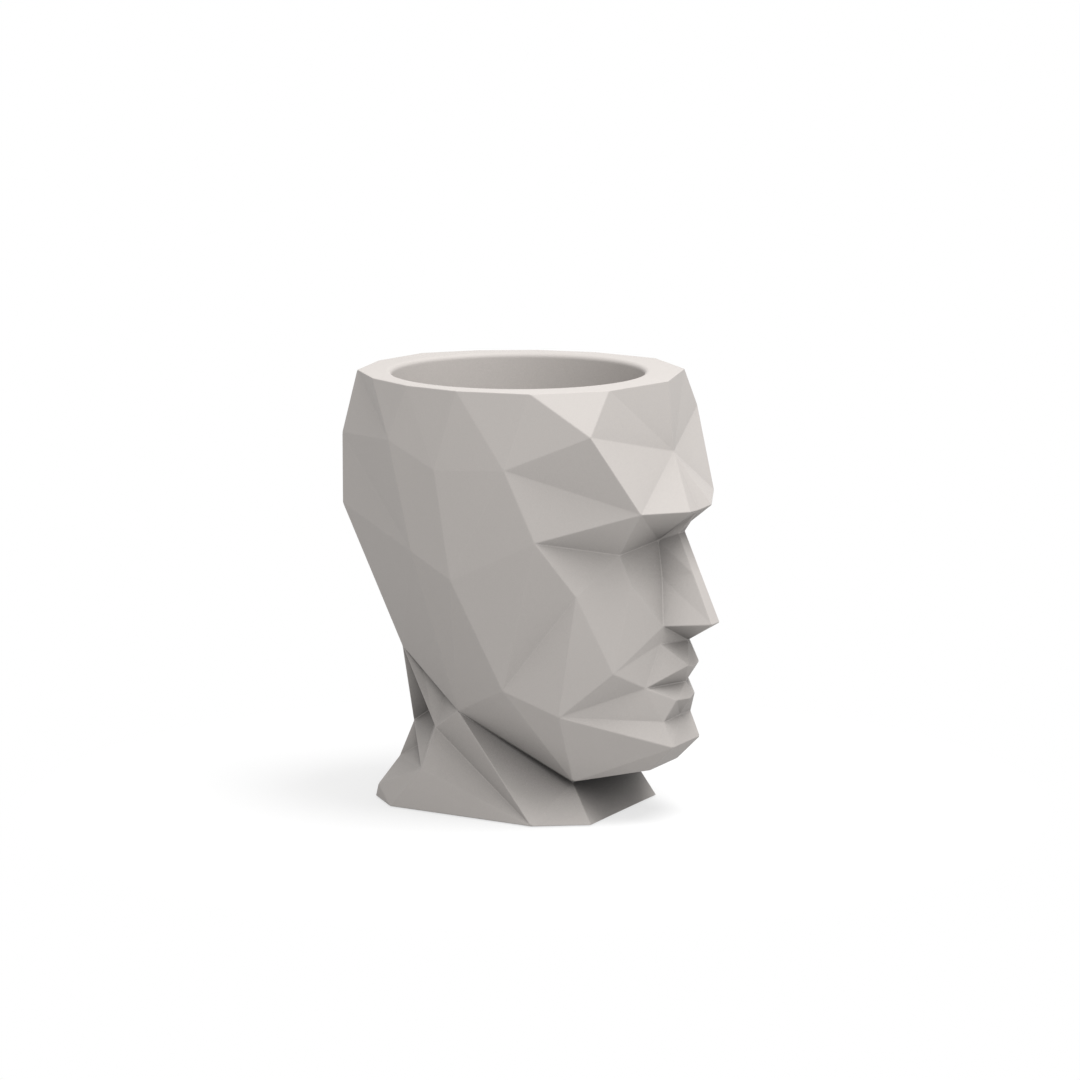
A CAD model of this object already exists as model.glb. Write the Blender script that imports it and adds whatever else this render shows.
"""Looks of a faceted head planter: its moulded shell, drain fitting, foot pads and studio.

Everything is in metres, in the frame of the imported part: +Z up, the face towards -Y, standing on z = 0.
"""

import logging
import math
from dataclasses import dataclass, field
from enum import Enum

import bmesh
import bpy
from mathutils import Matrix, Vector

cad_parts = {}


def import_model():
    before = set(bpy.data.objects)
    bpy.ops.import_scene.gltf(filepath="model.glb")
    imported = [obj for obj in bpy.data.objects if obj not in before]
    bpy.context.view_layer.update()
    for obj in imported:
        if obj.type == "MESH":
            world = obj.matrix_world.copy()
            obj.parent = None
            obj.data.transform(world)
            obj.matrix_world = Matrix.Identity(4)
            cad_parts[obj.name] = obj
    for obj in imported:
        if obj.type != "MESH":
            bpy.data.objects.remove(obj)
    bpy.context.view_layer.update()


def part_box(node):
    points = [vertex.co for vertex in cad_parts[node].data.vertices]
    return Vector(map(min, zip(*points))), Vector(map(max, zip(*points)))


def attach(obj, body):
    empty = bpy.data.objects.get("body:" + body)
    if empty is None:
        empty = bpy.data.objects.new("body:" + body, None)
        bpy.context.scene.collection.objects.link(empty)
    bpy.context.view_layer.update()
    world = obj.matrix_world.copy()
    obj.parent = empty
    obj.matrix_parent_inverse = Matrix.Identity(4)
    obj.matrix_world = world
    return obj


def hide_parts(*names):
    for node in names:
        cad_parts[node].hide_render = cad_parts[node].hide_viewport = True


Pair = tuple[float, float]
Triple = tuple[float, float, float]
Profile = list[Pair]
Values = dict[str, object]
Material = bpy.types.Material
Mesh = bpy.types.Mesh
Piece = bpy.types.Object
Shape = bmesh.types.BMesh
Socket = bpy.types.NodeSocket

LOG = logging.getLogger("planter")
MM = 0.001
MERGE_DISTANCE = 0.001 * MM
WHITE = (1.0, 1.0, 1.0, 1.0)
# Where most values of a noise lie
NOISE_RANGE: Pair = (0.3, 0.7)
# The solid in the middle of the round pot
AXIS_NODE = "drain_plug"


class Body(Enum):
    """The bodies that pieces ride on."""

    POT = "pot"
    SEAL = "seal_ring"
    PLUG = "screw_plug"


class Slot(Enum):
    """The record's material slots."""

    SHELL = "shell"
    BUSH = "bush"
    PLUG = "plug"
    RUBBER = "rubber"


class Graph:
    """A node tree that is being built."""

    def __init__(self, tree: bpy.types.NodeTree) -> None:
        """Keep the tree that nodes are added to.

        Args:
            tree: A shader or geometry node tree.
        """
        self.tree = tree

    def add(self, kind: str, values: Values | None = None, **settings: object) -> bpy.types.Node:
        """Add one node.

        Args:
            kind: The node's type name.
            values: Constants for its input sockets, by socket name.
            **settings: The node's own properties.

        Returns:
            The new node.
        """
        node = self.tree.nodes.new(kind)
        for name, value in settings.items():
            setattr(node, name, value)
        for name, value in (values or {}).items():
            node.inputs[name].default_value = value
        return node

    def link(self, source: Socket, target: Socket) -> None:
        """Join two sockets.

        Args:
            source: An output.
            target: An input.
        """
        self.tree.links.new(source, target)

    def noise(self, where: Socket, scale: float, detail: float) -> Socket:
        """Add a noise texture.

        Args:
            where: The coordinates that it reads.
            scale: Features per metre.
            detail: Octaves of finer noise on top.

        Returns:
            The noise's factor.
        """
        node = self.add("ShaderNodeTexNoise", {"Scale": scale, "Detail": detail})
        self.link(where, node.inputs["Vector"])
        return node.outputs["Fac"]

    def remap(self, value: Socket, old: Pair, new: Pair) -> Socket:
        """Stretch one range of a value over another, and hold it at the ends.

        Args:
            value: The value.
            old: The range that it has.
            new: The range that it gets.

        Returns:
            The stretched value.
        """
        ends = {"From Min": old[0], "From Max": old[1], "To Min": new[0], "To Max": new[1]}
        node = self.add("ShaderNodeMapRange", ends)
        self.link(value, node.inputs["Value"])
        return node.outputs["Result"]

    def vary(self, noise: Socket, middle: float, swing: float) -> Socket:
        """Let a noise vary a value.

        Args:
            noise: The noise's factor.
            middle: The value without noise.
            swing: How far the noise moves it to either side.

        Returns:
            The varied value.
        """
        return self.remap(noise, NOISE_RANGE, (middle - swing, middle + swing))

    def math(self, operation: str, *operands: object) -> Socket:
        """Add a math node.

        Args:
            operation: The node's operation.
            *operands: Numbers, or sockets to link.

        Returns:
            The result.
        """
        node = self.add("ShaderNodeMath", operation=operation)
        for socket, operand in zip(node.inputs, operands):
            if isinstance(operand, Socket):
                self.link(operand, socket)
            else:
                socket.default_value = operand
        return node.outputs[0]

    def mix(self, share: Socket, first: bpy.types.Node, second: bpy.types.Node) -> bpy.types.Node:
        """Mix two shaders.

        Args:
            share: How much of the second shows.
            first: The shader at 0.
            second: The shader at 1.

        Returns:
            The mixing node.
        """
        node = self.add("ShaderNodeMixShader")
        self.link(share, node.inputs["Fac"])
        self.link(first.outputs[0], node.inputs[1])
        self.link(second.outputs[0], node.inputs[2])
        return node


@dataclass(frozen=True)
class MouldedFinish:
    """A matt moulded surface: a fine grain, a slow drift of tone, paler rounded edges and deeper creases.

    Attributes:
        roughness_swing: How far the grain moves the roughness.
        grain_scale: Grains per metre.
        grain_detail: Octaves of finer grain.
        grain_tone: How far the grain moves the tone.
        grain_bump: How strongly the grain's height shows.
        drift_scale: Slow patches per metre.
        drift_detail: Octaves of finer patches.
        drift_tone: How far the patches move the tone.
        edge_tone: How much paler a rounded edge is.
        edge_attribute: The mesh attribute that is 1 on a rounded edge.
        crease_tone: The power of the darkening where faces close in on each other, or 0 for none.
        crease_reach: How far apart such faces may be.
        crease_samples: The rays that look for them.
    """

    name: str
    colour: Triple
    roughness: float
    roughness_swing: float = 0.06
    specular: float = 0.35
    grain_scale: float = 1300.0
    grain_detail: float = 2.0
    grain_tone: float = 0.03
    grain_height: float = 0.06 * MM
    grain_bump: float = 0.5
    drift_scale: float = 9.0
    drift_detail: float = 3.0
    drift_tone: float = 0.012
    edge_tone: float = 0.012
    edge_attribute: str = "edge"
    crease_tone: float = 0.0
    crease_reach: float = 56 * MM
    crease_samples: int = 8

    def material(self) -> Material:
        """Build the finish.

        Returns:
            The material.
        """
        made = bpy.data.materials.new(self.name)
        made.use_nodes = True
        graph = Graph(made.node_tree)
        shader = made.node_tree.nodes["Principled BSDF"]
        shader.inputs["Specular IOR Level"].default_value = self.specular
        where = graph.add("ShaderNodeTexCoord").outputs["Object"]
        grain = graph.noise(where, self.grain_scale, self.grain_detail)

        tint = graph.add("ShaderNodeHueSaturation", {"Color": (*self.colour, 1.0)})
        graph.link(self._tone(graph, where, grain), tint.inputs["Value"])
        graph.link(tint.outputs["Color"], shader.inputs["Base Color"])

        roughness = graph.vary(grain, self.roughness, self.roughness_swing)
        graph.link(roughness, shader.inputs["Roughness"])
        bump = graph.add("ShaderNodeBump", {"Strength": self.grain_bump, "Distance": self.grain_height})
        graph.link(grain, bump.inputs["Height"])
        graph.link(bump.outputs["Normal"], shader.inputs["Normal"])
        return made

    def _tone(self, graph: Graph, where: Socket, grain: Socket) -> Socket:
        """Work out how much paler or deeper than its colour the surface is.

        Args:
            graph: The material's nodes.
            where: The coordinates on the piece.
            grain: The grain's factor.

        Returns:
            What the colour's value is multiplied by.
        """
        drift = graph.noise(where, self.drift_scale, self.drift_detail)
        edge = graph.add("ShaderNodeAttribute", attribute_name=self.edge_attribute).outputs["Fac"]
        grain_tone = graph.vary(grain, 1.0, self.grain_tone)
        drift_tone = graph.vary(drift, 1.0, self.drift_tone)
        tone = graph.math("MULTIPLY", grain_tone, drift_tone)
        tone = graph.math("MULTIPLY_ADD", edge, self.edge_tone, tone)
        if self.crease_tone > 0:
            tone = graph.math("MULTIPLY", tone, self._open_share(graph))
        return tone

    def _open_share(self, graph: Graph) -> Socket:
        """Give 1 on an open face, and less where the piece's own faces close in on each other.

        Args:
            graph: The material's nodes.

        Returns:
            The share.
        """
        shut = graph.add(
            "ShaderNodeAmbientOcclusion", {"Distance": self.crease_reach},
            only_local=True, samples=self.crease_samples,
        )
        return graph.math("POWER", shut.outputs["AO"], self.crease_tone)


@dataclass(frozen=True)
class Finishes:
    """The planter's four finishes."""

    shell: MouldedFinish = MouldedFinish(
        "moulded_warm_grey", (0.462, 0.434, 0.413), roughness=0.66, crease_tone=2.6
    )
    bush: MouldedFinish = MouldedFinish(
        "bush_mid_grey", (0.30, 0.285, 0.27), roughness=0.5, grain_scale=2200.0
    )
    plug: MouldedFinish = MouldedFinish(
        "plug_dark_grey", (0.16, 0.152, 0.145), roughness=0.45, grain_scale=2200.0
    )
    rubber: MouldedFinish = MouldedFinish(
        "black_rubber", (0.022, 0.022, 0.022), roughness=0.75, specular=0.25,
        grain_scale=1800.0, grain_tone=0.12,
    )


def foot_of(node: str) -> Vector:
    """Find the middle of a solid's underside.

    Args:
        node: The solid.

    Returns:
        The middle of its box from above, at the box's lowest height.
    """
    low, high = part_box(node)
    return Vector(((low[0] + high[0]) / 2, (low[1] + high[1]) / 2, low[2]))


def piece_of(name: str, mesh: Mesh) -> Piece:
    """Put a mesh into the scene as a piece at the origin.

    Args:
        name: The piece's name.
        mesh: Its mesh, already in place.

    Returns:
        The new object.
    """
    mesh.name = name
    made = bpy.data.objects.new(name, mesh)
    bpy.context.scene.collection.objects.link(made)
    return made


def settled(piece: Piece) -> Piece:
    """Turn a piece's modifiers into its plain mesh.

    Args:
        piece: An object with live modifiers.

    Returns:
        The same object with the evaluated mesh and no modifier.
    """
    graph = bpy.context.evaluated_depsgraph_get()
    evaluated = piece.evaluated_get(graph)
    mesh = bpy.data.meshes.new_from_object(evaluated, preserve_all_data_layers=True, depsgraph=graph)
    piece.modifiers.clear()
    piece.data = mesh
    mesh.name = piece.name
    return piece


def from_mesh(mesh: Mesh) -> Shape:
    """Open a mesh for editing.

    Args:
        mesh: The mesh, which stays as it is.

    Returns:
        Its shape.
    """
    made = bmesh.new()
    made.from_mesh(mesh)
    return made


def lofted(rings: list[list[Triple]], loop: bool = False) -> Shape:
    """Join rings of points into a closed solid.

    Args:
        rings: The rings in order, each of one point or of as many as the others.
        loop: Whether the last ring meets the first. If not, both are capped.

    Returns:
        The solid.
    """
    made = bmesh.new()
    corners = [[made.verts.new(point) for point in ring] for ring in rings]
    steps = max(len(ring) for ring in corners)
    following = corners[1:] + corners[:1] if loop else corners[1:]
    for low, high in zip(corners, following):
        for k in range(steps):
            after = (k + 1) % steps
            quad = [low[k % len(low)], low[after % len(low)], high[after % len(high)], high[k % len(high)]]
            made.faces.new(list(dict.fromkeys(quad)))
    for cap in (corners[0][::-1], corners[-1]):
        if len(cap) > 1 and not loop:
            made.faces.new(cap)
    bmesh.ops.recalc_face_normals(made, faces=made.faces[:])
    return made


def turned(profile: Profile, steps: int) -> Shape:
    """Turn a profile of (radius, height) points round the Z axis into a closed solid.

    Args:
        profile: Points up the outside, starting and ending on the axis, or a loop clear of it.
        steps: Faces round the axis.

    Returns:
        The solid.
    """
    angles = [2 * math.pi * k / steps for k in range(steps)]
    rings = []
    for radius, height in profile:
        ring = [(radius * math.cos(a), radius * math.sin(a), height) for a in angles]
        rings.append(ring if radius > MERGE_DISTANCE else ring[:1])
    return lofted(rings, loop=len(rings[0]) > 1)


def arc(centre: Pair, radius: float, start: float, end: float, steps: int = 5) -> Profile:
    """Give the points of a round stretch of a profile.

    Args:
        centre: Its centre as (radius, height).
        radius: Its own radius.
        start: The first angle in degrees, 0 pointing outwards and 90 up.
        end: The last angle.
        steps: Stretches between points.

    Returns:
        The points.
    """
    angles = [math.radians(start + (end - start) * k / steps) for k in range(steps + 1)]
    return [(centre[0] + radius * math.cos(a), centre[1] + radius * math.sin(a)) for a in angles]


def shaded(made: Shape, sharp_from: float = 30.0, at: Vector | None = None) -> Mesh:
    """Make a mesh that is smooth except across its sharp edges.

    Args:
        made: The shape, which is freed.
        sharp_from: The least angle, in degrees, of an edge that stays sharp.
        at: Where the shape's own origin goes, if it isn't in place yet.

    Returns:
        The mesh.
    """
    bmesh.ops.translate(made, verts=made.verts[:], vec=at or Vector())
    for face in made.faces:
        face.smooth = True
    for edge in made.edges:
        edge.smooth = edge.calc_face_angle(math.pi) < math.radians(sharp_from)
    mesh = bpy.data.meshes.new("shape")
    made.to_mesh(mesh)
    made.free()
    return mesh


def joined(name: str, material: Material, *meshes: Mesh) -> Piece:
    """Join meshes into one piece of one material.

    Args:
        name: The piece's name.
        material: Its material.
        *meshes: Its parts, in place, with sharp edges marked.

    Returns:
        The piece.
    """
    made = bmesh.new()
    for mesh in meshes:
        made.from_mesh(mesh)
    for face in made.faces:
        face.material_index = 0
    whole = bpy.data.meshes.new(name)
    made.to_mesh(whole)
    made.free()
    whole.materials.append(material)
    return piece_of(name, whole)


class NodeModifier:
    """A Geometry Nodes tree with named inputs, run once to make a mesh."""

    def __init__(self, name: str, inputs: dict[str, str]) -> None:
        """Start a tree.

        Args:
            name: The tree's name.
            inputs: Kinds of socket, such as Float, by input name.
        """
        self.tree = bpy.data.node_groups.new(name, "GeometryNodeTree")
        panel = self.tree.interface
        panel.new_socket("Geometry", in_out="OUTPUT", socket_type="NodeSocketGeometry")
        kinds = {"Geometry": "Geometry", **inputs, "Material": "Material"}
        self.sockets = {
            label: panel.new_socket(label, in_out="INPUT", socket_type=f"NodeSocket{kind}")
            for label, kind in kinds.items()
        }
        self.graph = Graph(self.tree)
        self.entry = self.graph.add("NodeGroupInput").outputs

    def step(
        self, kind: str, links: dict[str, Socket], values: Values | None = None, **settings: object
    ) -> Socket:
        """Add one node with linked inputs.

        Args:
            kind: The node's type name.
            links: Sockets to link, by the name of the node's input.
            values: Constants for other inputs, by name.
            **settings: The node's own properties.

        Returns:
            The node's first output.
        """
        node = self.graph.add(kind, values, **settings)
        for name, source in links.items():
            self.graph.link(source, node.inputs[name])
        return node.outputs[0]

    def vector(self, **parts: Socket) -> Socket:
        """Make a vector.

        Args:
            **parts: Sockets for its X, Y and Z, those not named being 0.

        Returns:
            The vector.
        """
        return self.step("ShaderNodeCombineXYZ", parts)

    def moved(self, geometry: Socket, by: Socket) -> Socket:
        """Move geometry.

        Args:
            geometry: What to move.
            by: The way that it moves.

        Returns:
            The moved geometry.
        """
        return self.step("GeometryNodeTransform", {"Geometry": geometry, "Translation": by})

    def swept(self, path: Socket, section: Socket, scale: Socket) -> Socket:
        """Sweep a section along a curve, with both ends closed.

        Args:
            path: The curve.
            section: The outline that is swept.
            scale: The section's size along the curve.

        Returns:
            The mesh.
        """
        links = {"Curve": path, "Profile Curve": section, "Scale": scale}
        return self.step("GeometryNodeCurveToMesh", links, {"Fill Caps": True})

    def from_end(self) -> Socket:
        """Measure along a curve from its nearer end.

        Returns:
            The share of the curve's length, 0 at both ends and 0.5 halfway.
        """
        along = self.graph.add("GeometryNodeSplineParameter").outputs["Factor"]
        return self.graph.math("MINIMUM", along, self.graph.math("SUBTRACT", 1.0, along))

    def close(self, geometry: Socket) -> None:
        """End the tree with real geometry in the piece's material.

        Args:
            geometry: What the tree has made.
        """
        real = self.step("GeometryNodeRealizeInstances", {"Geometry": geometry})
        links = {"Geometry": real, "Material": self.entry["Material"]}
        dressed = self.step("GeometryNodeSetMaterial", links)
        self.graph.link(dressed, self.graph.add("NodeGroupOutput").inputs["Geometry"])

    def make(self, name: str, values: Values, points: list[Vector] | None = None) -> Mesh:
        """Run the tree.

        Args:
            name: The name of what it makes.
            values: Its inputs, by name.
            points: Where the tree puts what it repeats, if it takes any.

        Returns:
            A plain mesh.
        """
        base = bpy.data.meshes.new(name)
        base.from_pydata(points or [], [], [])
        carrier = piece_of(name, base)
        modifier = carrier.modifiers.new(name, "NODES")
        modifier.node_group = self.tree
        for label, value in values.items():
            modifier[self.sockets[label].identifier] = value
        mesh = settled(carrier).data
        bpy.data.objects.remove(carrier)
        return mesh


def thread_tree(run_out: float = 0.08, tip: float = 0.15) -> NodeModifier:
    """Build the tree of a screw thread: a ridge that winds up a shank or a bore and thins out at its ends.

    Args:
        run_out: The share of the ridge's length over which either end thins out.
        tip: The share of the ridge's size that is left at its very ends.

    Returns:
        The tree.
    """
    tree = NodeModifier("screw_thread", {
        "Foot": "Vector", "Radius": "Float", "Pitch": "Float", "Turns": "Float", "Steps per Turn": "Int",
        "Depth": "Float", "Inner Width": "Float", "Outer Width": "Float", "Lift": "Float",
    })
    graph, entry = tree.graph, tree.entry
    turns = {
        "Resolution": entry["Steps per Turn"], "Rotations": entry["Turns"],
        "Start Radius": entry["Radius"], "End Radius": entry["Radius"],
        "Height": graph.math("MULTIPLY", entry["Pitch"], entry["Turns"]),
    }
    helix = tree.step("GeometryNodeCurveSpiral", turns, {"Reverse": True})
    helix = tree.step("GeometryNodeSetCurveNormal", {"Curve": helix}, mode="Z_UP")

    sides = {
        "Height": entry["Depth"], "Bottom Width": entry["Inner Width"], "Top Width": entry["Outer Width"],
    }
    section = tree.step("GeometryNodeCurvePrimitiveQuadrilateral", sides, {"Offset": 0.0}, mode="TRAPEZOID")
    section = tree.moved(section, tree.vector(Y=entry["Lift"]))

    taper = graph.remap(tree.from_end(), (0.0, run_out), (tip, 1.0))
    tree.close(tree.moved(tree.swept(helix, section, taper), entry["Foot"]))
    return tree


def ribs_tree(points: int = 9, sides: int = 12, fullness: float = 5.0, tip: float = 0.08) -> NodeModifier:
    """Build the tree of a grip's ribs: two facing rows of upright rounded ridges.

    Args:
        points: Points up a rib.
        sides: Faces round a rib.
        fullness: How soon a rib grows from its ends to its full width.
        tip: The share of a rib's cross-section that is left at its very ends.

    Returns:
        The tree.
    """
    tree = NodeModifier("grip_ribs", {
        "First Foot": "Vector", "Count": "Int", "Pitch": "Float", "Across": "Float",
        "Height": "Float", "Radius": "Float",
    })
    graph, entry = tree.graph, tree.entry
    row = tree.step("GeometryNodeMeshLine", {
        "Count": entry["Count"], "Start Location": entry["First Foot"],
        "Offset": tree.vector(X=entry["Pitch"]),
    })
    far = tree.moved(row, tree.vector(Y=entry["Across"]))
    rows = graph.add("GeometryNodeJoinGeometry")
    graph.link(row, rows.inputs[0])
    graph.link(far, rows.inputs[0])

    spine = tree.step("GeometryNodeCurvePrimitiveLine", {"End": tree.vector(Z=entry["Height"])})
    spine = tree.step("GeometryNodeResampleCurve", {"Curve": spine}, {"Count": points})
    radius = {"Radius": entry["Radius"]}
    section = tree.step("GeometryNodeCurvePrimitiveCircle", radius, {"Resolution": sides})
    area = graph.math("MINIMUM", graph.math("MULTIPLY_ADD", tree.from_end(), fullness, tip), 1.0)
    rib = tree.swept(spine, section, graph.math("SQRT", area))
    tree.close(tree.step("GeometryNodeInstanceOnPoints", {"Points": rows.outputs[0], "Instance": rib}))
    return tree


def pads_tree() -> NodeModifier:
    """Build the tree that sets one pad on each of its points.

    Returns:
        The tree.
    """
    tree = NodeModifier("foot_pads", {"Pad": "Object"})
    pad = tree.step("GeometryNodeObjectInfo", {"Object": tree.entry["Pad"]}).node.outputs["Geometry"]
    points = tree.entry["Geometry"]
    tree.close(tree.step("GeometryNodeInstanceOnPoints", {"Points": points, "Instance": pad}))
    return tree


@dataclass
class HeadShell:
    """The head, rim, pot and base flange as one moulding, with its facet edges rounded.

    Attributes:
        edge_round: How far the rounding of a facet edge reaches.
        edge_segments: Faces across the rounding.
        inner_share: The share of that rounding on the inner edges of the rim and the sole.
        inner_angle: The least angle of such an inner edge.
        crease: The least angle between two facets.
        level: How far a point of the rim or the sole may lie off its height.
        level_facing: The least upright share of a level face's normal.
        turned_limit: How far a round face may turn away from the pot's axis, as a sine.
        strip_corners: The rear, front and lower corner of the strip of neck under the skull's edge, on the
            head's left, from the foot of the pot's axis.
        undercut: How a point of the strip moves outwards, backwards and upwards.
        undercut_places: Where two such points start, as a share of the way from the rear to the front
            corner, and the share of the move that each makes.
    """

    node: str = "head_shell"
    edge_round: float = 0.9 * MM
    edge_segments: int = 3
    inner_share: float = 0.5
    inner_angle: float = math.radians(60)
    crease: float = math.radians(0.6)
    level: float = 0.02 * MM
    level_facing: float = 0.999
    turned_limit: float = 0.06
    strip_corners: tuple[Triple, ...] = (
        (48 * MM, 101 * MM, 151 * MM), (84 * MM, 22 * MM, 101 * MM), (64 * MM, 57 * MM, 78 * MM),
    )
    undercut: Triple = (-13 * MM, 6.5 * MM, 4 * MM)
    undercut_places: tuple[Pair, ...] = ((0.34, 0.62), (0.8, 1.15))

    def build(self, finish: MouldedFinish) -> Piece:
        """Make the shell from a copy of its solid.

        Args:
            finish: The moulding's finish.

        Returns:
            The dressed piece.
        """
        shape = self._bare_copy()
        self._undercut_skull(shape)
        self._join_flats(shape)
        self._weigh_edges(shape)
        mesh = bpy.data.meshes.new("moulding")
        shape.to_mesh(mesh)
        shape.free()
        # The second slot tells the rounded faces from the flat ones
        mesh.materials.append(finish.material())
        mesh.materials.append(mesh.materials[0])
        piece = piece_of("head_shell_moulding", mesh)
        bevel = piece.modifiers.new("rounded_edges", "BEVEL")
        bevel.limit_method = "WEIGHT"
        bevel.width = self.edge_round
        bevel.segments = self.edge_segments
        bevel.use_clamp_overlap = False
        bevel.harden_normals = True
        bevel.material = 1
        settled(piece)
        self._mark_rounded(piece.data, finish.edge_attribute)
        return piece

    def _bare_copy(self) -> Shape:
        """Copy the solid's points and faces alone, without the normals stored on them, and close its seams.

        Returns:
            The merged copy.
        """
        solid = bpy.data.objects[self.node].data
        bare = bpy.data.meshes.new("bare")
        points = [vert.co for vert in solid.vertices]
        bare.from_pydata(points, [], [face.vertices for face in solid.polygons])
        shape = from_mesh(bare)
        bpy.data.meshes.remove(bare)
        bmesh.ops.remove_doubles(shape, verts=shape.verts[:], dist=MERGE_DISTANCE)
        shape.normal_update()
        return shape

    def _undercut_skull(self, shape: Shape) -> None:
        """Draw the neck in under the skull's edge on both sides, outside and inside the wall alike.

        Args:
            shape: The merged solid.
        """
        foot = foot_of(AXIS_NODE)
        foot.z = 0.0
        outwards, back, up = self.undercut
        for side in (-1, 1):
            spots = [foot + Vector((side * x, y, z)) for x, y, z in self.strip_corners]
            # The nearest point is on the skin, the second behind it on the inside of the wall
            near = [sorted(shape.verts, key=lambda vert: (vert.co - spot).length)[:2] for spot in spots]
            for corners in zip(*near):
                self._sink_strip(shape, corners, Vector((side * outwards, back, up)))
        shape.normal_update()

    def _sink_strip(self, shape: Shape, corners: tuple[bmesh.types.BMVert, ...], move: Vector) -> None:
        """Split one face of the strip at two new points, and move these in under the skull's edge.

        Args:
            shape: The merged solid.
            corners: The rear, front and lower corner of the face.
            move: The way that the points move.
        """
        rear, front, lower = corners
        strip = shape.faces.get(corners)
        near_rear = bmesh.ops.poke(shape, faces=[strip])["verts"][0]
        near_front = bmesh.utils.edge_split(shape.edges.get((near_rear, front)), near_rear, 0.5)[1]
        bmesh.ops.connect_verts(shape, verts=[near_front, rear])
        bmesh.ops.connect_verts(shape, verts=[near_front, lower])
        for vert, (along, share) in zip((near_rear, near_front), self.undercut_places):
            vert.co = rear.co.lerp(front.co, along) + share * move

    def _skin(self, shape: Shape) -> set[bmesh.types.BMFace]:
        """Find the outer faces: all that are reached over the skin without crossing the rim or the sole.

        Args:
            shape: The merged solid.

        Returns:
            The skin's faces, the flat rim and the sole among them.
        """
        heights = [vert.co.z for vert in shape.verts]
        ends = (min(heights), max(heights))
        first = max(shape.faces, key=lambda face: face.calc_center_median().x)
        found = {first}
        waiting = [first]
        while waiting:
            face = waiting.pop()
            if any(all(abs(vert.co.z - end) < self.level for vert in face.verts) for end in ends):
                continue
            near = {other for edge in face.edges for other in edge.link_faces} - found
            found |= near
            waiting.extend(near)
        return found

    def _join_flats(self, shape: Shape) -> None:
        """Make one face of the skin's faces that lie in one facet, the rim's and the sole's apart.

        Args:
            shape: The merged solid.
        """
        skin = self._skin(shape)
        flats = [
            edge for edge in shape.edges
            if all(face in skin for face in edge.link_faces) and edge.calc_face_angle() < self.crease
            and any(abs(face.normal.z) < self.level_facing for face in edge.link_faces)
        ]
        bmesh.ops.dissolve_edges(shape, edges=flats, use_verts=False)

    def _is_turned(self, face: bmesh.types.BMFace, axis: Vector) -> bool:
        """Say whether a face belongs to the round pot, so that it is shaded as a curve.

        Args:
            face: The face.
            axis: A point on the pot's axis.

        Returns:
            True if the face is upright and faces the axis or away from it.
        """
        out = (face.calc_center_median() - axis).xy
        facing = face.normal.xy
        return abs(out.normalized().cross(facing)) < self.turned_limit and facing.length > self.turned_limit

    def _weigh_edges(self, shape: Shape) -> None:
        """Give each edge its share of rounding, and keep the unrounded creases sharp.

        Args:
            shape: The merged solid.
        """
        skin = self._skin(shape)
        axis = foot_of(AXIS_NODE)
        weight = shape.edges.layers.float.new("bevel_weight_edge")
        for face in shape.faces:
            face.smooth = True
        for edge in shape.edges:
            angle = edge.calc_face_angle()
            sides = [face in skin for face in edge.link_faces]
            if all(sides):
                edge[weight] = 1.0 if angle > self.crease else 0.0
            elif any(sides) and angle > self.inner_angle:
                edge[weight] = self.inner_share
            elif not all(self._is_turned(face, axis) for face in edge.link_faces):
                edge.smooth = angle < self.crease

    @staticmethod
    def _mark_rounded(mesh: Mesh, name: str) -> None:
        """Store where the mesh is a rounded edge, and give every face the one material.

        Args:
            mesh: The mesh after rounding, whose rounded faces carry the second material.
            name: The attribute to write.
        """
        on_flat = {index for face in mesh.polygons if face.material_index == 0 for index in face.vertices}
        values = [0.0 if vert.index in on_flat else 1.0 for vert in mesh.vertices]
        mesh.attributes.new(name, "FLOAT", "POINT").data.foreach_set("value", values)
        for face in mesh.polygons:
            face.material_index = 0
        mesh.materials.pop(index=1)


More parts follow.
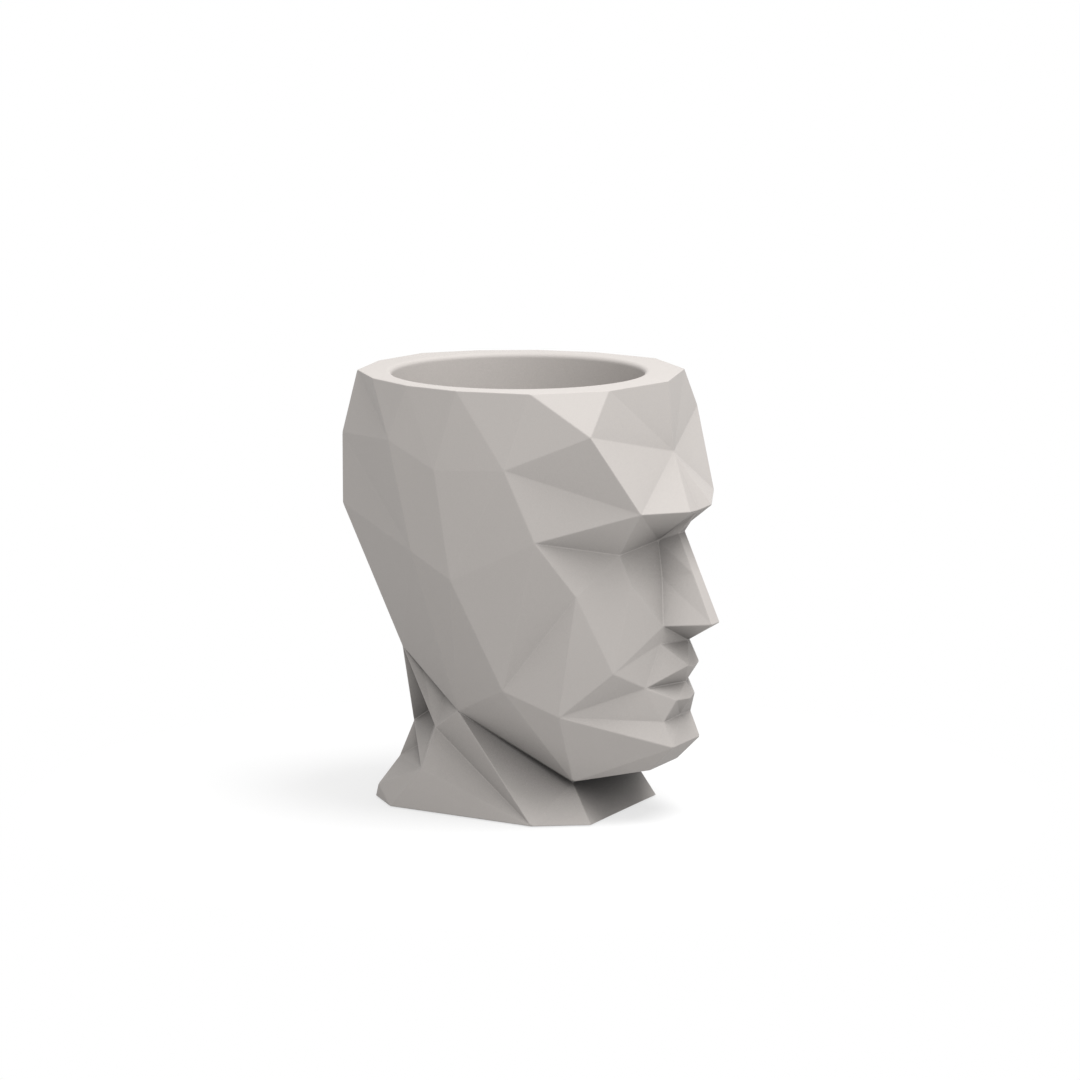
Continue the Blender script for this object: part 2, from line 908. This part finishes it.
@dataclass
class DrainFitting:
    """The threaded bush in the floor, the screw plug and its seal ring.

    Radii are from the plug's axis, and heights from the pot's floor.

    Attributes:
        steps: Faces round the axis.
        edge_round: The rounding of the plug's edges.
        thread_sink: How deep a thread's foot sits in the wall that carries it.
        thread_offset: How many pitches lower the bush's thread starts, to lie in the plug's groove.
        groove_mouth: Half the width of the groove round the plug's head, at its top.
        groove_floor: Half its width at its bottom.
        rib_margin: How far the ribs end below the bar's top and start above its foot.
        rib_sharp: The least angle, in degrees, of a rib's edge that stays sharp.
        bar_sink: How deep the bar sits in the plug's head.
        bar_foot: Points up the bar's flared foot, outwards and upwards, as shares of edge_round.
        bar_top: Where the rounding of the bar's top ends, in degrees.
    """

    steps: int = 72
    edge_round: float = 1.2 * MM
    pitch: float = 4 * MM
    thread_depth: float = 1.5 * MM
    thread_sink: float = 0.4 * MM
    thread_root: float = 2.4 * MM
    thread_crest: float = 1.0 * MM
    thread_start: float = -23.4 * MM
    thread_offset: float = 1.5

    head_radius: float = 23 * MM
    head_height: float = 5 * MM
    groove_radius: float = 19 * MM
    groove_mouth: float = 0.7 * MM
    groove_floor: float = 0.4 * MM
    groove_depth: float = 0.4 * MM
    shank_radius: float = 13.2 * MM
    shank_foot: float = -25 * MM
    shank_chamfer: float = 0.5 * MM
    core_radius: float = 9 * MM
    plug_turns: float = 3.9

    grip_length: float = 34 * MM
    grip_width: float = 7.4 * MM
    grip_height: float = 12 * MM
    rib_radius: float = 0.55 * MM
    rib_pitch: float = 2.3 * MM
    rib_count: int = 11
    rib_margin: float = 1.8 * MM
    rib_sharp: float = 60.0
    bar_sink: float = 0.5 * MM
    bar_foot: tuple[Pair, ...] = ((0.6, 0.0), (0.18, 0.3), (0.0, 1.0))
    bar_top: float = 80.0
    bar_end_steps: int = 12

    bore_radius: float = 15 * MM
    bush_radius: float = 19 * MM
    bush_top: float = -9.9 * MM
    bush_foot: float = -29.9 * MM
    bush_chamfer: float = 0.6 * MM
    collar_radius: float = 25 * MM
    collar_low: float = -22.4 * MM
    collar_high: float = -17.4 * MM
    bush_turns: float = 4.4

    seal_radius: float = 17.3 * MM
    seal_section: float = 4 * MM
    seal_height: float = -7.3 * MM
    seal_sides: int = 24

    thread_nodes: NodeModifier = field(default_factory=thread_tree)

    def axis(self) -> Vector:
        """Find where the plug's axis meets the pot's floor.

        Returns:
            The point.
        """
        return foot_of(AXIS_NODE) - Vector((0.0, 0.0, self.shank_foot))

    def plug(self, finish: MouldedFinish) -> Piece:
        """Make the screw plug: flanged head, threaded hollow shank and ribbed bar.

        Args:
            finish: The plug's finish.

        Returns:
            The piece.
        """
        material = finish.material()
        first = Vector((-self.rib_pitch * (self.rib_count - 1) / 2, -self.grip_width / 2, self.rib_margin))
        ribs = ribs_tree().make("grip_ribs", {
            "First Foot": self.axis() + first, "Count": self.rib_count, "Pitch": self.rib_pitch,
            "Across": self.grip_width, "Height": self.grip_height - 2 * self.rib_margin,
            "Radius": self.rib_radius, "Material": material,
        })
        parts = (
            shaded(turned(self._plug_profile(), self.steps), at=self.axis()),
            shaded(self._bar(), at=self.axis()),
            self._thread("plug_thread", material, self.shank_radius, self.thread_start, self.plug_turns, 1),
            shaded(from_mesh(ribs), self.rib_sharp),
        )
        return joined("drain_plug_screw", material, *parts)

    def bush(self, finish: MouldedFinish) -> Piece:
        """Make the bush with its collar and inner thread.

        Args:
            finish: The bush's finish.

        Returns:
            The piece.
        """
        material = finish.material()
        start = self.thread_start - self.thread_offset * self.pitch
        body = shaded(turned(self._bush_profile(), self.steps), at=self.axis())
        thread = self._thread("bush_thread", material, self.bore_radius, start, self.bush_turns, -1)
        return joined("drain_bush_insert", material, body, thread)

    def seal(self, finish: MouldedFinish) -> Piece:
        """Make the seal ring.

        Args:
            finish: The ring's finish.

        Returns:
            The piece.
        """
        last = 360.0 - 360.0 / self.seal_sides
        centre = (self.seal_radius, self.seal_height)
        ring = arc(centre, self.seal_section / 2, 0.0, last, self.seal_sides - 1)
        return joined("plug_seal_ring", finish.material(), shaded(turned(ring, self.steps), at=self.axis()))

    def _thread(
        self, name: str, material: Material, radius: float, start: float, turns: float, side: int
    ) -> Mesh:
        """Wind a thread.

        Args:
            name: Its name.
            material: Its material.
            radius: The radius of the wall that carries it.
            start: The height that it starts at.
            turns: How often it goes round.
            side: 1 on a shank, -1 in a bore.

        Returns:
            The thread, in place.
        """
        inner, outer = (self.thread_root, self.thread_crest)[::side]
        return shaded(from_mesh(self.thread_nodes.make(name, {
            "Foot": self.axis() + Vector((0.0, 0.0, start)), "Radius": radius, "Pitch": self.pitch,
            "Turns": turns, "Steps per Turn": self.steps, "Depth": self.thread_depth + self.thread_sink,
            "Inner Width": inner, "Outer Width": outer, "Material": material,
            "Lift": side * (self.thread_depth - self.thread_sink) / 2,
        })))

    def _plug_profile(self) -> Profile:
        """Draw half of the plug's section, from the roof of its hollow round to the middle of its head.

        Returns:
            The profile.
        """
        under, edge, foot = -self.head_height, self.edge_round, self.shank_foot
        shank, core, chamfer = self.shank_radius, self.core_radius, self.shank_chamfer
        rim = self.head_radius - edge
        middle, mouth, floor = self.groove_radius, self.groove_mouth, self.groove_floor
        return [
            (0.0, under), *arc((core - edge, under - edge), edge, 90, 0),
            (core, foot + chamfer), (core + chamfer, foot), (shank - edge, foot), (shank, foot + edge),
            *arc((shank + edge, under - edge), edge, 180, 90),
            *arc((rim, under + edge), edge, -90, 0), *arc((rim, -edge), edge, 0, 90),
            (middle + mouth, 0.0), (middle + floor, -self.groove_depth),
            (middle - floor, -self.groove_depth), (middle - mouth, 0.0), (0.0, 0.0),
        ]

    def _bush_profile(self) -> Profile:
        """Draw half of the bush's section, as a loop.

        Returns:
            The profile.
        """
        bore, outside, collar = self.bore_radius, self.bush_radius, self.collar_radius
        foot, top, chamfer = self.bush_foot, self.bush_top, self.bush_chamfer
        low, high = self.collar_low, self.collar_high
        return [
            (bore + chamfer, foot), (outside - chamfer, foot), (outside, foot + chamfer),
            (outside, low), (collar - chamfer, low), (collar, low + chamfer),
            (collar, high - chamfer), (collar - chamfer, high), (outside, high),
            (outside, top - chamfer), (outside - chamfer, top), (bore + chamfer, top),
            (bore, top - chamfer), (bore, foot + chamfer),
        ]

    def _bar(self) -> Shape:
        """Loft the bar across the head: round ends, a flared foot sunk in the head and a rounded top.

        Returns:
            The bar, with the floor at z = 0.
        """
        edge = self.edge_round
        foot = [(edge * out, edge * up) for out, up in self.bar_foot]
        sunk = (foot[0][0], -self.bar_sink)
        top = arc((-edge, self.grip_height - edge), edge, 0, self.bar_top)
        return lofted([
            [(x, y, height) for x, y in self._stadium(self.grip_width / 2 + grow)]
            for grow, height in [sunk, *foot, *top]
        ])

    def _stadium(self, radius: float) -> Profile:
        """Draw the outline of the bar, a straight stretch with two round ends.

        Args:
            radius: The radius of the ends.

        Returns:
            The outline's points as (x, y).
        """
        run = (self.grip_length - self.grip_width) / 2
        return [
            (middle + x, y) for middle, start in ((run, -90.0), (-run, 90.0))
            for x, y in arc((0.0, 0.0), radius, start, start + 180.0, self.bar_end_steps)
        ]


@dataclass
class FootPads:
    """The rubber pads under the base flange, with grooved soles.

    Attributes:
        top_round: The rounding of a top's edge.
        top_steps: Faces across it.
        grooves: The inner and outer radius of each groove's floor.
        groove_slope: How much wider a groove is at its mouth, on either side.
    """

    nodes: tuple[str, ...] = (
        "foot_pad_front_left", "foot_pad_front_right", "foot_pad_back_left", "foot_pad_back_right",
    )
    radius: float = 10 * MM
    thickness: float = 3 * MM
    edge_round: float = 1 * MM
    top_round: float = 0.3 * MM
    top_steps: int = 2
    grooves: tuple[Pair, ...] = ((0.0, 2.4 * MM), (4.6 * MM, 6.2 * MM))
    groove_depth: float = 0.5 * MM
    groove_slope: float = 0.3 * MM
    steps: int = 48

    def build(self, finish: MouldedFinish) -> Piece:
        """Make the pads as one piece.

        Args:
            finish: The rubber's finish.

        Returns:
            The piece.
        """
        material = finish.material()
        pad = piece_of("pad_pattern", shaded(turned(self._profile(), self.steps)))
        places = [foot_of(node) for node in self.nodes]
        pads = pads_tree().make("foot_pads", {"Pad": pad, "Material": material}, places)
        bpy.data.objects.remove(pad)
        return joined("foot_pads", material, shaded(from_mesh(pads)))

    def _profile(self) -> Profile:
        """Draw half of a pad's section, from the middle of its sole to the middle of its top.

        Returns:
            The profile.
        """
        edge, top = self.edge_round, self.top_round
        depth, slope = self.groove_depth, self.groove_slope
        sole: Profile = []
        for inner, outer in self.grooves:
            if inner > 0:
                sole.append((inner - slope, 0.0))
            sole += [(inner, depth), (outer, depth), (outer + slope, 0.0)]
        low_edge = arc((self.radius - edge, edge), edge, -90, 0)
        high_edge = arc((self.radius - top, self.thickness - top), top, 0, 90, self.top_steps)
        return [*sole, *low_edge, *high_edge, (0.0, self.thickness)]


@dataclass(frozen=True)
class Stand:
    """A place round the planter, for a camera or a lamp.

    Attributes:
        azimuth: Degrees from straight ahead of the face, towards the head's left.
        elevation: Degrees above the horizon.
        distance: Metres from the point that it faces.
    """

    azimuth: float
    elevation: float
    distance: float

    def put(self, made: Piece, target: Vector) -> None:
        """Put a camera or a lamp there.

        Args:
            made: The camera or lamp, not yet in the scene.
            target: The point that it faces.
        """
        a, e = math.radians(self.azimuth), math.radians(self.elevation)
        away = Vector((math.sin(a) * math.cos(e), -math.cos(a) * math.cos(e), math.sin(e)))
        made.location = target + away * self.distance
        made.rotation_euler = (-away).to_track_quat("-Z", "Y").to_euler()
        bpy.context.scene.collection.objects.link(made)


@dataclass(frozen=True)
class Softbox:
    """A large square lamp that faces the planter.

    Attributes:
        size: The length of its sides.
        power: Its power in watts.
    """

    name: str
    stand: Stand
    size: float
    power: float

    def build(self, target: Vector) -> None:
        """Hang the lamp.

        Args:
            target: The point that it faces.
        """
        lamp = bpy.data.lights.new(self.name, "AREA")
        lamp.energy = self.power
        lamp.size = self.size
        self.stand.put(bpy.data.objects.new(self.name, lamp), target)


@dataclass
class Studio:
    """Camera, lamps, white surroundings and pale floor.

    Attributes:
        aim: The point that the camera and the lamps face.
        camera: Where the camera stands.
        lens: Its focal length in millimetres.
        sensor: The width of its sensor in millimetres.
        ambient: How strongly the white surroundings light the planter.
        floor_side: The length of the floor's sides.
        floor_tone: How much light the floor throws back.
        shadow_tone: How pale the floor is where it takes a shadow.
        shadow_share: How much of the shadow is seen next to the planter.
        shadow_reach: How far from the middle the shadow starts to fade, and where it is gone.
    """

    aim: Vector = field(default_factory=lambda: Vector((0.0424, 0.0153, 0.2486)))
    camera: Stand = Stand(azimuth=-63.25, elevation=10.0, distance=4.848)
    lens: float = 166.67
    sensor: float = 36.0
    lamps: tuple[Softbox, ...] = (
        Softbox("overhead", Stand(azimuth=0.0, elevation=70.0, distance=3.0), size=1.6, power=86.0),
        Softbox("side", Stand(azimuth=-58.0, elevation=30.0, distance=3.0), size=1.6, power=21.0),
    )
    ambient: float = 0.665
    floor_side: float = 1.3
    floor_tone: float = 0.42
    shadow_tone: float = 0.9
    shadow_share: float = 0.35
    shadow_reach: Pair = (0.22, 0.5)

    def build(self) -> None:
        """Set up everything that isn't the planter."""
        bpy.context.scene.view_settings.view_transform = "Standard"
        self._camera()
        self._world()
        for lamp in self.lamps:
            lamp.build(self.aim)
        self._floor()

    def _camera(self) -> None:
        """Stand the camera where the photograph was taken from."""
        lens = bpy.data.cameras.new("camera")
        lens.sensor_fit = "HORIZONTAL"
        lens.sensor_width = self.sensor
        lens.lens = self.lens
        camera = bpy.data.objects.new("camera", lens)
        self.camera.put(camera, self.aim)
        bpy.context.scene.camera = camera

    def _world(self) -> None:
        """Surround the planter with white that lights it softly."""
        world = bpy.data.worlds.new("surroundings")
        world.use_nodes = True
        bpy.context.scene.world = world
        graph = Graph(world.node_tree)
        light = world.node_tree.nodes["Background"]
        light.inputs["Color"].default_value = WHITE
        light.inputs["Strength"].default_value = self.ambient
        white = graph.add("ShaderNodeBackground", {"Color": WHITE, "Strength": 1.0})
        whole = graph.mix(self._seen_directly(graph), light, white)
        graph.link(whole.outputs[0], world.node_tree.nodes["World Output"].inputs["Surface"])

    def _floor(self) -> None:
        """Lay the pale floor."""
        shape = bmesh.new()
        bmesh.ops.create_grid(shape, x_segments=1, y_segments=1, size=self.floor_side / 2)
        mesh = bpy.data.meshes.new("floor")
        shape.to_mesh(mesh)
        shape.free()
        mesh.materials.append(self._floor_finish())
        piece_of("floor", mesh)

    def _floor_finish(self) -> Material:
        """Make a floor that shows white, with the planter's shadow faint and fading out.

        Returns:
            The material.
        """
        made = bpy.data.materials.new("pale_floor")
        made.use_nodes = True
        made.node_tree.nodes.clear()
        graph = Graph(made.node_tree)
        away = graph.add("ShaderNodeVectorMath", operation="LENGTH")
        graph.link(graph.add("ShaderNodeTexCoord").outputs["Object"], away.inputs[0])
        fade = graph.remap(away.outputs["Value"], self.shadow_reach, (self.shadow_share, 0.0))

        white = graph.add("ShaderNodeEmission", {"Color": WHITE, "Strength": 1.0})
        shadowed = graph.add("ShaderNodeBsdfDiffuse", {"Color": (*[self.shadow_tone] * 3, 1.0)})
        shown = graph.mix(fade, white, shadowed)
        pale = graph.add("ShaderNodeBsdfDiffuse", {"Color": (*[self.floor_tone] * 3, 1.0)})
        whole = graph.mix(self._seen_directly(graph), pale, shown)
        graph.link(whole.outputs[0], graph.add("ShaderNodeOutputMaterial").inputs["Surface"])
        return made

    @staticmethod
    def _seen_directly(graph: Graph) -> Socket:
        """Tell the rays that see a surface from those that are lit by it.

        Args:
            graph: The nodes of the floor or of the surroundings.

        Returns:
            1 for rays that see it directly, mirrored or through something, and 0 for the others.
        """
        path = graph.add("ShaderNodeLightPath").outputs
        seen = graph.math("MAXIMUM", path["Is Camera Ray"], path["Is Glossy Ray"])
        return graph.math("MAXIMUM", seen, path["Is Transmission Ray"])


def dress(piece: Piece, body: Body, slot: Slot, *nodes: str) -> None:
    """Hand a finished piece to the frame.

    Args:
        piece: The piece, in place.
        body: The body that it rides on.
        slot: The record's slot for its finish.
        *nodes: The solids that it stands for.
    """
    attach(piece, body.value)
    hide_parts(*nodes)
    LOG.info("%s on %s: %d faces", piece.name, body.value, len(piece.data.polygons))


def main() -> None:
    """Build the planter and its studio."""
    logging.basicConfig(level=logging.INFO, format="%(name)s: %(message)s")
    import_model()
    finishes = Finishes()
    Studio().build()
    dress(HeadShell().build(finishes.shell), Body.POT, Slot.SHELL, "head_shell")
    drain = DrainFitting()
    dress(drain.bush(finishes.bush), Body.POT, Slot.BUSH, "drain_bush")
    dress(drain.seal(finishes.rubber), Body.SEAL, Slot.RUBBER, "plug_seal")
    dress(drain.plug(finishes.plug), Body.PLUG, Slot.PLUG, "drain_plug")
    pads = FootPads()
    dress(pads.build(finishes.rubber), Body.POT, Slot.RUBBER, *pads.nodes)


if __name__ == "__main__":
    main()
